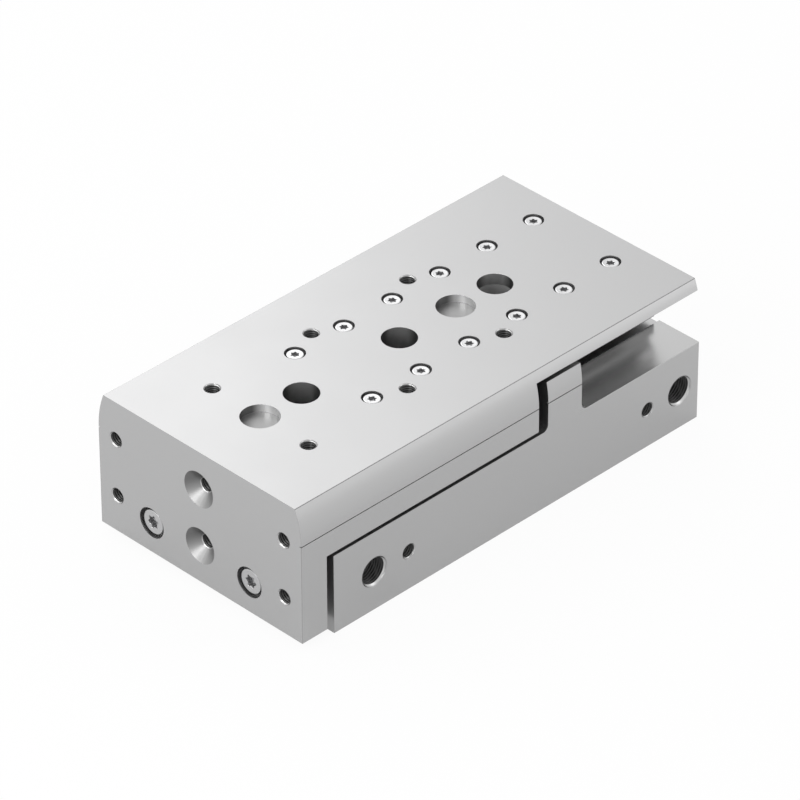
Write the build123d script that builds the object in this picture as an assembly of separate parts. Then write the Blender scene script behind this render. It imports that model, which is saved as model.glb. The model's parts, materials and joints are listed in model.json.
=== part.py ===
from build123d import *

import math
import os

# A pneumatic slide table, retracted. Two pistons in the housing push a yoke, and the yoke carries
# a flat table that runs on ball cages between the housing's bearing bars and its own guide rail.
# +X is the way the table runs out, +Y is the side with the air ports and +Z is up. The origin is on
# the underside, in the middle of the retracted table. Sizes are in millimetres, and a station is a
# distance behind the yoke's front face.

# Overall size
STROKE = 80.0
WIDTH = 84.5
HEIGHT = 49.2
SHOULDER_DROP = 12.4
SHOULDER_INSET = 2.45
SHOULDER_GROOVE = 0.3
SHOULDER_GROOVE_DEPTH = 0.6

# Table
PLATE_THICKNESS = 3.8
SPINE_DROP = 4.4
YOKE_THICKNESS = 10.0
YOKE_GROUND_GAP = 2.9
SIDE_WALL_THICKNESS = 4.75
SIDE_WALL_END_GAP = 3.9
WALL_ROOT_RADIUS = 1.0

# Housing
YOKE_GAP = 2.7
DECK_HEIGHT = 27.4
SHELF_LENGTH = 50.7
TOWER_THICKNESS = 14.2
TOWER_FRONT_RADIUS = 2.0
TOWER_REAR_RADIUS = 2.5
RUNNING_GAP = 1.3
CHANNEL_DEPTH = 1.0
CHANNEL_RADIUS = 0.8

# Hole pattern of the table's top, and the housing holes that lie under its access holes
STATION_FRONT = 24.7
STATION_PITCH = 40.0
STATION_COUNT = 3
TOP_THREAD_INSET = 5.0
TOP_THREAD_DEPTH = 7.5
CENTRING_DIAMETER = 12.0
CENTRING_DEPTH = 2.6
ACCESS_OFFSET = 16.6
ACCESS_DIAMETER = 11.0
HOUSING_SCREW_HOLE = 6.6
HOUSING_SCREW_RECESS = 6.5

# Threads, modelled at their outer diameter
M5 = 5.0
M5_MOUTH = 0.1
BASE_THREAD = 6.0
BASE_THREAD_DEPTH = 12.0
BASE_THREAD_INSET = 6.0

# Hole pattern of the yoke's front face
FACE_THREAD_INSET = 7.25
FACE_THREAD_LOW = 15.8
FACE_THREAD_RISE = 20.0
FACE_THREAD_DEPTH = 8.0
CONE_DIAMETER = 12.0
CONE_DEPTH = 3.0

# Cylinders
BORE = 20.0
BORE_SIDE_WALL = 11.75
BORE_HEIGHT = 13.4
ROD = 10.0
PORT_THREAD = 9.73
PORT_THREAD_DEPTH = 8.0
PORT_MOUTH = 0.2
PORT_PASSAGE = 4.0
PORT_FRONT_SETBACK = 16.3
PORT_REAR_SETBACK = 8.0
SIDE_THREAD_OFFSET = 14.0
SIDE_THREAD_DEPTH = 7.0
SENSOR_SLOT = 4.4
SENSOR_MOUTH = 3.0
SENSOR_LIP = 1.2
SENSOR_SLOT_RISE = 10.0

# Cylinder ends
CLIP_SETBACK = 0.5
CLIP_THICKNESS = 1.0
CLIP_GROOVE = 0.8
CLIP_WIDTH = 1.6
GUIDE_BODY = 12.3
GUIDE_NOSE = 9.5
GUIDE_NOSE_DIAMETER = 15.0
PLUG_BODY = 4.0
PLUG_NOSE = 7.4
PLUG_NOSE_DIAMETER = 12.0
BUMPER = 3.0
BUMPER_GAP = 0.3
RING_SEAL_WIDTH = 1.8
RING_SEAL_DEPTH = 1.3
RING_SEAL_SETBACK = 1.1
ROD_SEAL_WIDTH = 3.0
ROD_SEAL_DEPTH = 2.2
ROD_SEAL_SETBACK = 6.0
ROD_WIPER_WIDTH = 2.0

# Piston
PISTON_FRONT = 16.5
PISTON_REAR = 9.0
MAGNET_LENGTH = 4.5
MAGNET_BORE = 12.0
PISTON_SEAL_WIDTH = 3.0
PISTON_SEAL_DEPTH = 2.8
PISTON_SEAL_SETBACK = 2.5
BAND_WIDTH = 5.0
BAND_DEPTH = 1.2
BAND_SETBACK = 8.5
ROD_TAIL = 6.0
PISTON_NUT = 10.0
PISTON_NUT_HEIGHT = 5.0
NUT_POCKET = 12.2

# Ball guide
RAIL_FLOOR_GAP = 2.0
RAIL_FRONT_SETBACK = 24.2
RAIL_REAR_SETBACK = 1.3
RAIL_CHAMFER = 0.6
GUIDE_GAP = 1.0
BALL = 5.0
BALL_PITCH = 6.5
CAGE_THICKNESS = 0.5
CAGE_HEIGHT = 8.0
CAGE_MARGIN = 3.2
CAGE_END_GAP = 0.5
BAR_WIDTH = 10.7
BAR_TOP_GAP = 2.0
BAR_WALL_GAP = 0.8
BAR_CHAMFER = 0.6
CAP_FRONT_SETBACK = 1.8
CAP_REAR_GAP = 1.5
CAP_THICKNESS = 3.0
WIPER_THICKNESS = 1.0
WIPER_CLEARANCE = 0.25

# Screws
SMALL_SHANK = 3.0
SMALL_HEAD = 5.3
SMALL_HEAD_HEIGHT = 2.6
SMALL_RECESS = 6.5
SMALL_SINK = 0.4
RAIL_SCREW_PITCH = 20.0
RAIL_SCREW_MARGIN = 10.0
RAIL_SCREW_INSET = 9.0
RAIL_SCREW_GRIP = 7.5
BAR_SCREW_COUNT = 4
BAR_SCREW_MARGIN = 9.0
BAR_SCREW_INSET = 4.0
BAR_SCREW_GRIP = 6.5
YOKE_SHANK = 5.0
YOKE_HEAD = 8.2
YOKE_HEAD_HEIGHT = 3.6
YOKE_RECESS = 10.1
YOKE_SINK = 0.5
YOKE_SCREW_GRIP = 10.0
HEAD_EDGE = 0.3
TURNED_EDGE = 0.4

# Clearances
SLIDING_FIT = 0.05
THREAD_CLEARANCE = 0.05
SHANK_CLEARANCE = 0.25
DRILL_OVERRUN = 1.5

# Widths that follow from the sizes
BAR_OUTSIDE = WIDTH / 2 - SIDE_WALL_THICKNESS - BAR_WALL_GAP
BAR_INSIDE = BAR_OUTSIDE - BAR_WIDTH
RAIL_WIDTH = 2 * (BAR_INSIDE - GUIDE_GAP)
GROOVE_Y = BAR_INSIDE - GUIDE_GAP / 2
BORE_SPREAD = WIDTH - BORE - 2 * BORE_SIDE_WALL
FACE_THREAD_SPREAD = WIDTH - 2 * FACE_THREAD_INSET
TOP_THREAD_SPREAD = RAIL_WIDTH - 2 * TOP_THREAD_INSET
RAIL_SCREW_SPREAD = RAIL_WIDTH - 2 * RAIL_SCREW_INSET

# Levels that follow from the sizes
UNDERSIDE = HEIGHT - PLATE_THICKNESS
SPINE_LEVEL = UNDERSIDE - SPINE_DROP
WALL_LEVEL = DECK_HEIGHT + RUNNING_GAP
TOWER_LEVEL = UNDERSIDE - RUNNING_GAP
CHANNEL_LEVEL = DECK_HEIGHT - CHANNEL_DEPTH
RAIL_LEVEL = CHANNEL_LEVEL + RAIL_FLOOR_GAP
RAIL_HEIGHT = SPINE_LEVEL - RAIL_LEVEL
BALL_LEVEL = RAIL_LEVEL + RAIL_HEIGHT / 2
BAR_HEIGHT = UNDERSIDE - BAR_TOP_GAP - DECK_HEIGHT

# Stations along the cylinders, from the housing's front to its rear
HOUSING_FRONT = YOKE_THICKNESS + YOKE_GAP
GUIDE_FRONT = HOUSING_FRONT + CLIP_SETBACK + CLIP_THICKNESS
FRONT_BUMPER_REAR = GUIDE_FRONT + GUIDE_BODY + GUIDE_NOSE + BUMPER
PISTON_LENGTH = PISTON_FRONT + MAGNET_LENGTH + PISTON_REAR
PISTON_STATION = FRONT_BUMPER_REAR + BUMPER_GAP + STROKE
REAR_BUMPER_FRONT = PISTON_STATION + PISTON_LENGTH + BUMPER_GAP
PLUG_REAR = REAR_BUMPER_FRONT + BUMPER + PLUG_NOSE + PLUG_BODY
LENGTH = PLUG_REAR + CLIP_THICKNESS + CLIP_SETBACK
PORT_FRONT = HOUSING_FRONT + PORT_FRONT_SETBACK
PORT_REAR = LENGTH - PORT_REAR_SETBACK

# Stations along the guide
TOWER_REAR = LENGTH - SHELF_LENGTH
TOWER_FRONT = TOWER_REAR - TOWER_THICKNESS
SIDE_WALL_END = TOWER_FRONT - SIDE_WALL_END_GAP
RAIL_FRONT = YOKE_THICKNESS + RAIL_FRONT_SETBACK
RAIL_REAR = LENGTH - RAIL_REAR_SETBACK
RAIL_LENGTH = RAIL_REAR - RAIL_FRONT
WIPER_FRONT = HOUSING_FRONT + CAP_FRONT_SETBACK
BAR_FRONT = WIPER_FRONT + WIPER_THICKNESS + CAP_THICKNESS
CAP_REAR = TOWER_FRONT - TOWER_FRONT_RADIUS - CAP_REAR_GAP
BAR_REAR = CAP_REAR - WIPER_THICKNESS - CAP_THICKNESS
BAR_LENGTH = BAR_REAR - BAR_FRONT
CAGE_LENGTH = BAR_LENGTH - STROKE / 2 - 2 * CAGE_END_GAP
CAGE_REAR = BAR_REAR - CAGE_END_GAP
GROOVE_RADIUS = BALL / 2 + SLIDING_FIT

SIDES = {"left": 1, "right": -1}
STATIONS = [STATION_FRONT + STATION_PITCH * k for k in range(STATION_COUNT)]
ACCESS_STATIONS = [station + ACCESS_OFFSET for station in STATIONS]
RAIL_SCREW_COUNT = 1 + int((RAIL_LENGTH - 2 * RAIL_SCREW_MARGIN) // RAIL_SCREW_PITCH)
RAIL_SCREW_STATIONS = [
    RAIL_REAR - RAIL_SCREW_MARGIN - RAIL_SCREW_PITCH * k for k in range(RAIL_SCREW_COUNT)
]


def at(station, y=0.0, z=0.0):
    """The point at a station behind the yoke's front face."""
    return Vector(LENGTH / 2 - station, y, z)


def drill(mouth, inward, diameter, depth, mouth_chamfer=0.0):
    """The tool for a round hole that starts at its mouth."""
    plane = Plane(origin=mouth, z_dir=inward)
    tool = plane * Pos(0, 0, depth / 2) * Cylinder(diameter / 2, depth)
    if mouth_chamfer:
        cone = Cone(diameter / 2 + mouth_chamfer, diameter / 2, mouth_chamfer)
        tool += plane * Pos(0, 0, mouth_chamfer / 2) * cone
    return tool


def lengthwise(section, front, rear):
    """A section of the YZ plane, extruded from one station to another."""
    return Pos(at(rear)) * extrude(section, amount=rear - front)


def crosswise(points, rounded, half_width):
    """A side view of (station, level) points, extruded to both sides. rounded is {index: radius}."""
    corners = [(at(station).X, level) for station, level in points]
    face = make_face(Polyline(*corners, close=True))
    for index, radius in rounded.items():
        corner = face.vertices().sort_by_distance(Vector(*corners[index]))[0]
        face = fillet(corner, radius)
    return extrude(Plane.XZ * face, amount=half_width, both=True)


def turned(station, points):
    """A turned piece on the X axis, from (distance behind the station, radius) points."""
    outline = Polyline(*[(at(station).X - back, radius) for back, radius in points], close=True)
    return revolve(make_face(outline), Axis.X)


def ring(station, length, outer, inner, front_edge=0.0, rear_edge=0.0):
    """A ring on the X axis, from its diameters and the chamfers on its two outer edges."""
    corners = [
        (0, inner / 2),
        (0, outer / 2 - front_edge),
        (front_edge, outer / 2),
        (length - rear_edge, outer / 2),
        (length, outer / 2 - rear_edge),
        (length, inner / 2),
    ]
    return turned(station, list(dict.fromkeys(corners)))


def on_bore(side, shape):
    """Moves a piece from the X axis onto one of the two cylinder axes."""
    return Pos(0, side * BORE_SPREAD / 2, BORE_HEIGHT) * shape


def rectangle(y_low, y_high, z_low, z_high):
    """A rectangle of the YZ plane."""
    corners = [(y_low, z_low), (y_high, z_low), (y_high, z_high), (y_low, z_high)]
    return Plane.YZ * make_face(Polyline(*corners, close=True))


def disc(y, z, diameter):
    """A disc of the YZ plane."""
    return Plane.YZ * Pos(y, z) * Circle(diameter / 2)


def slab_section(bottom):
    """The table's end view: straight sides, a fine groove, then shoulders that curve in to the top."""
    half = WIDTH / 2
    foot = HEIGHT - SHOULDER_DROP
    radius = (SHOULDER_INSET**2 + SHOULDER_DROP**2) / (2 * SHOULDER_INSET)
    sweep = math.degrees(math.asin(SHOULDER_DROP / radius))
    outline = [
        Line((-half, foot), (-half, bottom)),
        Line((-half, bottom), (half, bottom)),
        Line((half, bottom), (half, foot)),
        CenterArc((half - radius, foot), radius, 0, sweep),
        Line((half - SHOULDER_INSET, HEIGHT), (SHOULDER_INSET - half, HEIGHT)),
        CenterArc((radius - half, foot), radius, 180 - sweep, sweep),
    ]
    section = Plane.YZ * make_face(Wire(outline))
    for side in SIDES.values():
        edges = sorted((side * (half - SHOULDER_GROOVE_DEPTH), side * (half + SHOULDER_GROOVE)))
        section -= rectangle(*edges, foot, foot + SHOULDER_GROOVE)
    return section


def cap_screw(head_top, inward, shank, head, head_height, length):
    """A cap screw, placed by the middle of its head's top."""
    points = [
        (0, 0),
        (head / 2 - HEAD_EDGE, 0),
        (head / 2, HEAD_EDGE),
        (head / 2, head_height),
        (shank / 2, head_height),
        (shank / 2, head_height + length),
        (0, head_height + length),
    ]
    section = Plane.XZ * make_face(Polyline(*points, close=True))
    return Plane(origin=head_top, z_dir=inward) * revolve(section, Axis.Z)


def rail_screw_points():
    """Where the rail screws stand, at the table's top."""
    half = RAIL_SCREW_SPREAD / 2
    return [at(station, side * half, HEIGHT) for station in RAIL_SCREW_STATIONS for side in (1, -1)]


def bar_screw_points(side):
    """Where one bearing bar's screws stand, at the bar's top."""
    first = BAR_FRONT + BAR_SCREW_MARGIN
    pitch = (BAR_LENGTH - 2 * BAR_SCREW_MARGIN) / (BAR_SCREW_COUNT - 1)
    y = side * (BAR_OUTSIDE - BAR_SCREW_INSET)
    return [at(first + pitch * k, y, DECK_HEIGHT + BAR_HEIGHT) for k in range(BAR_SCREW_COUNT)]


def table():
    """The plate, yoke, side walls and middle spine, milled from one block."""
    wall_inside = WIDTH / 2 - SIDE_WALL_THICKNESS
    side_view = [
        (0, YOKE_GROUND_GAP),
        (YOKE_THICKNESS, YOKE_GROUND_GAP),
        (YOKE_THICKNESS, WALL_LEVEL),
        (SIDE_WALL_END, WALL_LEVEL),
        (SIDE_WALL_END, UNDERSIDE),
        (LENGTH, UNDERSIDE),
        (LENGTH, HEIGHT),
        (0, HEIGHT),
    ]
    shell = crosswise(side_view, {}, WIDTH)
    shell &= lengthwise(slab_section(YOKE_GROUND_GAP), 0, LENGTH)
    cavity = rectangle(-wall_inside, wall_inside, 0, UNDERSIDE)
    cavity = fillet(cavity.vertices().group_by(Axis.Z)[-1], WALL_ROOT_RADIUS)
    shell -= lengthwise(cavity, YOKE_THICKNESS, LENGTH)
    spine = rectangle(-RAIL_WIDTH / 2, RAIL_WIDTH / 2, SPINE_LEVEL, UNDERSIDE)
    body = shell + lengthwise(spine, YOKE_THICKNESS, LENGTH)
    return body - table_top_holes() - yoke_holes()


def table_top_holes():
    """Threads, centring recesses, access holes and screw recesses, cut from above."""
    down = (0, 0, -1)
    tools = []
    for station in STATIONS:
        for side in (1, -1):
            mouth = at(station, side * TOP_THREAD_SPREAD / 2, HEIGHT)
            tools.append(drill(mouth, down, M5, TOP_THREAD_DEPTH, M5_MOUTH))
    for station in (STATIONS[0], STATIONS[-1]):
        mouth = at(station, 0, HEIGHT)
        tools.append(drill(mouth, down, CENTRING_DIAMETER, CENTRING_DEPTH))
    through = PLATE_THICKNESS + SPINE_DROP
    for station in ACCESS_STATIONS:
        tools.append(drill(at(station, 0, HEIGHT), down, ACCESS_DIAMETER, through))
    seat = SMALL_SINK + SMALL_HEAD_HEIGHT
    for point in rail_screw_points():
        tools.append(drill(point, down, SMALL_RECESS, seat))
        tools.append(drill(point, down, SMALL_SHANK + 2 * SHANK_CLEARANCE, through))
    return tools


def yoke_holes():
    """Threads and piston screw recesses of the yoke's front face."""
    back = (-1, 0, 0)
    tools = []
    for level in (FACE_THREAD_LOW, FACE_THREAD_LOW + FACE_THREAD_RISE):
        for side in (1, -1):
            mouth = at(0, side * FACE_THREAD_SPREAD / 2, level)
            tools.append(drill(mouth, back, M5, FACE_THREAD_DEPTH, M5_MOUTH))
        centre = at(0, 0, level)
        cone = Cone(CONE_DIAMETER / 2, M5 / 2, CONE_DEPTH)
        tools.append(Plane(origin=centre, z_dir=back) * Pos(0, 0, CONE_DEPTH / 2) * cone)
        tools.append(drill(centre, back, M5, FACE_THREAD_DEPTH))
    for side in SIDES.values():
        mouth = at(0, side * BORE_SPREAD / 2, BORE_HEIGHT)
        tools.append(drill(mouth, back, YOKE_RECESS, YOKE_SINK + YOKE_HEAD_HEIGHT))
        tools.append(drill(mouth, back, YOKE_SHANK + 2 * SHANK_CLEARANCE, YOKE_THICKNESS))
    return tools


def housing():
    """The cylinder block with its deck, cross towers and rail channel."""
    side_view = [
        (HOUSING_FRONT, 0),
        (LENGTH, 0),
        (LENGTH, DECK_HEIGHT),
        (TOWER_REAR, DECK_HEIGHT),
        (TOWER_REAR, TOWER_LEVEL),
        (TOWER_FRONT, TOWER_LEVEL),
        (TOWER_FRONT, DECK_HEIGHT),
        (HOUSING_FRONT, DECK_HEIGHT),
    ]
    block = crosswise(side_view, {3: TOWER_REAR_RADIUS, 6: TOWER_FRONT_RADIUS}, WIDTH)
    block &= lengthwise(slab_section(0), HOUSING_FRONT, LENGTH)
    channel = rectangle(-BAR_INSIDE, BAR_INSIDE, CHANNEL_LEVEL, HEIGHT)
    channel = fillet(channel.vertices().group_by(Axis.Z)[0], CHANNEL_RADIUS)
    block -= lengthwise(channel, HOUSING_FRONT, LENGTH)
    block -= [on_bore(side, bore_tool()) for side in SIDES.values()]
    block -= [lengthwise(slot, HOUSING_FRONT, LENGTH) for slot in sensor_slots()]
    return block - port_tools() - housing_screw_holes()


def bore_tool():
    """One cylinder bore, open at both ends, with its two clip grooves."""
    groove = BORE + 2 * CLIP_GROOVE
    bore = ring(HOUSING_FRONT, LENGTH - HOUSING_FRONT, BORE, 0)
    front = ring(HOUSING_FRONT + CLIP_SETBACK, CLIP_THICKNESS, groove, 0)
    return bore + front + ring(PLUG_REAR, CLIP_THICKNESS, groove, 0)


def sensor_slots():
    """Two open round slots for sensors, along the side without ports."""
    sections = []
    face = -WIDTH / 2
    middle = face + SENSOR_LIP + SENSOR_SLOT / 2
    for level in (BORE_HEIGHT - SENSOR_SLOT_RISE / 2, BORE_HEIGHT + SENSOR_SLOT_RISE / 2):
        mouth = rectangle(face, middle, level - SENSOR_MOUTH / 2, level + SENSOR_MOUTH / 2)
        sections.append(disc(middle, level, SENSOR_SLOT) + mouth)
    return sections


def port_tools():
    """Two air ports that feed both bores, and a fixing thread beside each."""
    inward = (0, -1, 0)
    reach = WIDTH / 2 + BORE_SPREAD / 2
    tools = []
    for station, beside in ((PORT_FRONT, SIDE_THREAD_OFFSET), (PORT_REAR, -SIDE_THREAD_OFFSET)):
        mouth = at(station, WIDTH / 2, BORE_HEIGHT)
        tools.append(drill(mouth, inward, PORT_THREAD, PORT_THREAD_DEPTH, PORT_MOUTH))
        tools.append(drill(mouth, inward, PORT_PASSAGE, reach))
        thread = at(station + beside, WIDTH / 2, BORE_HEIGHT)
        tools.append(drill(thread, inward, M5, SIDE_THREAD_DEPTH, M5_MOUTH))
    return tools


def housing_screw_holes():
    """Fixing holes under the table's access holes, threads in the base and bearing bar threads."""
    tools = []
    down = (0, 0, -1)
    up = (0, 0, 1)
    for station in ACCESS_STATIONS:
        mouth = at(station, 0, CHANNEL_LEVEL)
        tools.append(drill(mouth, down, ACCESS_DIAMETER, HOUSING_SCREW_RECESS))
        tools.append(drill(mouth, down, HOUSING_SCREW_HOLE, CHANNEL_LEVEL))
    for station in (ACCESS_STATIONS[0], ACCESS_STATIONS[-1]):
        tools.append(drill(at(station), up, CENTRING_DIAMETER, CENTRING_DEPTH))
        for side in (1, -1):
            mouth = at(station, side * (WIDTH / 2 - BASE_THREAD_INSET), 0)
            tools.append(drill(mouth, up, BASE_THREAD, BASE_THREAD_DEPTH, M5_MOUTH))
    for side in SIDES.values():
        for point in bar_screw_points(side):
            seat = Vector(point.X, point.Y, DECK_HEIGHT)
            diameter = SMALL_SHANK + 2 * THREAD_CLEARANCE
            tools.append(drill(seat, down, diameter, BAR_SCREW_GRIP + DRILL_OVERRUN))
    return tools


def guide_rail():
    """The hardened rail under the table, with a ball groove in each side."""
    half = RAIL_WIDTH / 2
    section = rectangle(-half, half, RAIL_LEVEL, SPINE_LEVEL)
    section = chamfer(section.vertices(), RAIL_CHAMFER)
    section -= [disc(side * GROOVE_Y, BALL_LEVEL, 2 * GROOVE_RADIUS) for side in SIDES.values()]
    rail = lengthwise(section, RAIL_FRONT, RAIL_REAR)
    tools = []
    down = (0, 0, -1)
    for station in ACCESS_STATIONS:
        tools.append(drill(at(station, 0, SPINE_LEVEL), down, ACCESS_DIAMETER, RAIL_HEIGHT))
    for point in rail_screw_points():
        mouth = Vector(point.X, point.Y, SPINE_LEVEL)
        diameter = SMALL_SHANK + 2 * THREAD_CLEARANCE
        tools.append(drill(mouth, down, diameter, RAIL_SCREW_GRIP + DRILL_OVERRUN))
    return rail - tools


def rail_screws():
    """The screws that hold the rail to the table."""
    length = UNDERSIDE - SPINE_LEVEL + PLATE_THICKNESS - SMALL_SINK - SMALL_HEAD_HEIGHT
    length += RAIL_SCREW_GRIP
    tops = [point - Vector(0, 0, SMALL_SINK) for point in rail_screw_points()]
    small = (SMALL_SHANK, SMALL_HEAD, SMALL_HEAD_HEIGHT, length)
    return [cap_screw(top, (0, 0, -1), *small) for top in tops]


def yoke_screws():
    """The two screws that hold the yoke to the piston rods."""
    length = YOKE_THICKNESS - YOKE_SINK - YOKE_HEAD_HEIGHT + YOKE_SCREW_GRIP
    size = (YOKE_SHANK, YOKE_HEAD, YOKE_HEAD_HEIGHT, length)
    tops = [at(YOKE_SINK, side * BORE_SPREAD / 2, BORE_HEIGHT) for side in SIDES.values()]
    return [cap_screw(top, (-1, 0, 0), *size) for top in tops]


def bar_section(side):
    """The outline that a bearing bar and its end caps share."""
    edges = sorted((side * BAR_INSIDE, side * BAR_OUTSIDE))
    section = rectangle(*edges, DECK_HEIGHT, DECK_HEIGHT + BAR_HEIGHT)
    return chamfer(section.vertices().group_by(Axis.Z)[-1], BAR_CHAMFER)


def bearing_bar(side):
    """A hardened bar on the deck, with the ball groove that faces the rail."""
    section = bar_section(side) - disc(side * GROOVE_Y, BALL_LEVEL, 2 * GROOVE_RADIUS)
    bar = lengthwise(section, BAR_FRONT, BAR_REAR)
    down = (0, 0, -1)
    seat = SMALL_SINK + SMALL_HEAD_HEIGHT
    tools = []
    for point in bar_screw_points(side):
        tools.append(drill(point, down, SMALL_RECESS, seat))
        tools.append(drill(point, down, SMALL_SHANK + 2 * SHANK_CLEARANCE, BAR_HEIGHT))
    return bar - tools


def bar_screws():
    """The screws that hold both bearing bars to the deck."""
    length = BAR_HEIGHT - SMALL_SINK - SMALL_HEAD_HEIGHT + BAR_SCREW_GRIP
    small = (SMALL_SHANK, SMALL_HEAD, SMALL_HEAD_HEIGHT, length)
    points = [point for side in SIDES.values() for point in bar_screw_points(side)]
    return [cap_screw(point - Vector(0, 0, SMALL_SINK), (0, 0, -1), *small) for point in points]


def bar_cap(side, front):
    """A plastic cap that closes one end of a bar's groove and stops the cage."""
    return lengthwise(bar_section(side), front, front + CAP_THICKNESS)


def bar_wiper(side, front):
    """A rubber wiper whose lip follows the rail's side and groove."""
    lip = RAIL_WIDTH / 2 + WIPER_CLEARANCE
    edges = sorted((side * lip, side * (BAR_INSIDE + BAR_CHAMFER)))
    section = bar_section(side)
    section += rectangle(*edges, DECK_HEIGHT + BAR_CHAMFER, SPINE_LEVEL)
    section += disc(side * GROOVE_Y, BALL_LEVEL, 2 * (GROOVE_RADIUS - WIPER_CLEARANCE))
    return lengthwise(section, front, front + WIPER_THICKNESS)


def ball_stations():
    """Where one cage's balls sit, evenly spaced about its middle."""
    count = 1 + int((CAGE_LENGTH - 2 * CAGE_MARGIN) // BALL_PITCH)
    middle = CAGE_REAR - CAGE_LENGTH / 2
    return [middle + BALL_PITCH * (k - (count - 1) / 2) for k in range(count)]


def ball_cage(side):
    """The thin strip that spaces one row of balls."""
    half = CAGE_THICKNESS / 2
    edges = (side * GROOVE_Y - half, side * GROOVE_Y + half)
    section = rectangle(*edges, BALL_LEVEL - CAGE_HEIGHT / 2, BALL_LEVEL + CAGE_HEIGHT / 2)
    strip = lengthwise(section, CAGE_REAR - CAGE_LENGTH, CAGE_REAR)
    tools = []
    for station in ball_stations():
        mouth = at(station, side * GROOVE_Y + half, BALL_LEVEL)
        tools.append(drill(mouth, (0, -1, 0), BALL + 2 * SLIDING_FIT, CAGE_THICKNESS))
    return strip - tools


def balls(side):
    """One row of bearing balls."""
    centres = [at(station, side * GROOVE_Y, BALL_LEVEL) for station in ball_stations()]
    return [Pos(centre) * Sphere(BALL / 2) for centre in centres]


def piston_rod(side):
    """A rod with a thread for the yoke screw and a thinner tail for the piston."""
    body = PISTON_STATION - YOKE_THICKNESS
    end = body + PISTON_LENGTH - DRILL_OVERRUN
    thread = YOKE_SHANK / 2 + THREAD_CLEARANCE
    depth = YOKE_SCREW_GRIP + DRILL_OVERRUN
    points = [
        (0, thread),
        (0, ROD / 2 - TURNED_EDGE),
        (TURNED_EDGE, ROD / 2),
        (body, ROD / 2),
        (body, ROD_TAIL / 2),
        (end - TURNED_EDGE, ROD_TAIL / 2),
        (end, ROD_TAIL / 2 - TURNED_EDGE),
        (end, 0),
        (depth, 0),
        (depth, thread),
    ]
    return on_bore(side, turned(YOKE_THICKNESS, points))


def piston_front(side):
    """The piston's front half, with grooves for a seal and a guide band and a seat for the magnet."""
    outer = BORE - 4 * SLIDING_FIT
    tail = ROD_TAIL + 2 * SLIDING_FIT
    seat = MAGNET_BORE - 2 * SLIDING_FIT
    body = ring(PISTON_STATION, PISTON_FRONT, outer, tail, front_edge=TURNED_EDGE)
    body += ring(PISTON_STATION, PISTON_FRONT + MAGNET_LENGTH, seat, tail)
    seal_floor = BORE - 2 * PISTON_SEAL_DEPTH - 2 * SLIDING_FIT
    band_floor = BORE - 2 * BAND_DEPTH - 2 * SLIDING_FIT
    seal_front = PISTON_STATION + PISTON_SEAL_SETBACK
    body -= ring(seal_front, PISTON_SEAL_WIDTH, BORE, seal_floor)
    body -= ring(PISTON_STATION + BAND_SETBACK, BAND_WIDTH, BORE, band_floor)
    return on_bore(side, body)


def piston_rear(side):
    """The piston's rear half, with a seal groove and a pocket for the nut."""
    front = PISTON_STATION + PISTON_FRONT + MAGNET_LENGTH
    rear = PISTON_STATION + PISTON_LENGTH
    outer = BORE - 4 * SLIDING_FIT
    tail = ROD_TAIL + 2 * SLIDING_FIT
    body = ring(front, PISTON_REAR, outer, tail, rear_edge=TURNED_EDGE)
    body -= ring(rear - PISTON_NUT_HEIGHT, PISTON_NUT_HEIGHT, NUT_POCKET, 0)
    seal_floor = BORE - 2 * PISTON_SEAL_DEPTH - 2 * SLIDING_FIT
    body -= ring(rear_seal_station(), PISTON_SEAL_WIDTH, BORE, seal_floor)
    return on_bore(side, body)


def rear_seal_station():
    """The rear piston seal's front face."""
    return PISTON_STATION + PISTON_LENGTH - PISTON_SEAL_SETBACK - PISTON_SEAL_WIDTH


def piston_seals(side):
    """The two seals of one piston."""
    outer = BORE - 2 * SLIDING_FIT
    inner = BORE - 2 * PISTON_SEAL_DEPTH
    stations = (PISTON_STATION + PISTON_SEAL_SETBACK, rear_seal_station())
    return [on_bore(side, ring(front, PISTON_SEAL_WIDTH, outer, inner)) for front in stations]


def guide_band(side):
    """The bearing band round one piston."""
    sizes = (BAND_WIDTH, BORE - 2 * SLIDING_FIT, BORE - 2 * BAND_DEPTH)
    return on_bore(side, ring(PISTON_STATION + BAND_SETBACK, *sizes))


def piston_magnet(side):
    """The ring magnet that the sensors read."""
    front = PISTON_STATION + PISTON_FRONT
    return on_bore(side, ring(front, MAGNET_LENGTH, BORE - 4 * SLIDING_FIT, MAGNET_BORE))


def piston_nut(side):
    """The hexagon nut that clamps the piston halves on the rod's tail."""
    rear = PISTON_STATION + PISTON_LENGTH
    hexagon = Plane.YZ * RegularPolygon(PISTON_NUT / 2, 6, major_radius=False)
    hexagon -= disc(0, 0, ROD_TAIL + 2 * THREAD_CLEARANCE)
    return on_bore(side, lengthwise(hexagon, rear - PISTON_NUT_HEIGHT, rear))


def rod_guide(side):
    """The bearing in a bore's front end, with seats for a ring seal, a rod seal and a wiper."""
    outer = BORE - 2 * SLIDING_FIT
    inner = ROD + 2 * SLIDING_FIT
    body = ring(GUIDE_FRONT, GUIDE_BODY, outer, inner, front_edge=TURNED_EDGE)
    nose_front = GUIDE_FRONT + GUIDE_BODY
    body += ring(nose_front, GUIDE_NOSE, GUIDE_NOSE_DIAMETER, inner, rear_edge=TURNED_EDGE)
    groove = nose_front - RING_SEAL_SETBACK - RING_SEAL_WIDTH
    body -= ring(groove, RING_SEAL_WIDTH, BORE, BORE - 2 * RING_SEAL_DEPTH)
    seal = ROD + 2 * ROD_SEAL_DEPTH + 2 * SLIDING_FIT
    body -= ring(GUIDE_FRONT + ROD_SEAL_SETBACK, ROD_SEAL_WIDTH, seal, 0)
    return on_bore(side, body - ring(GUIDE_FRONT, ROD_WIPER_WIDTH, seal, 0))


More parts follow.
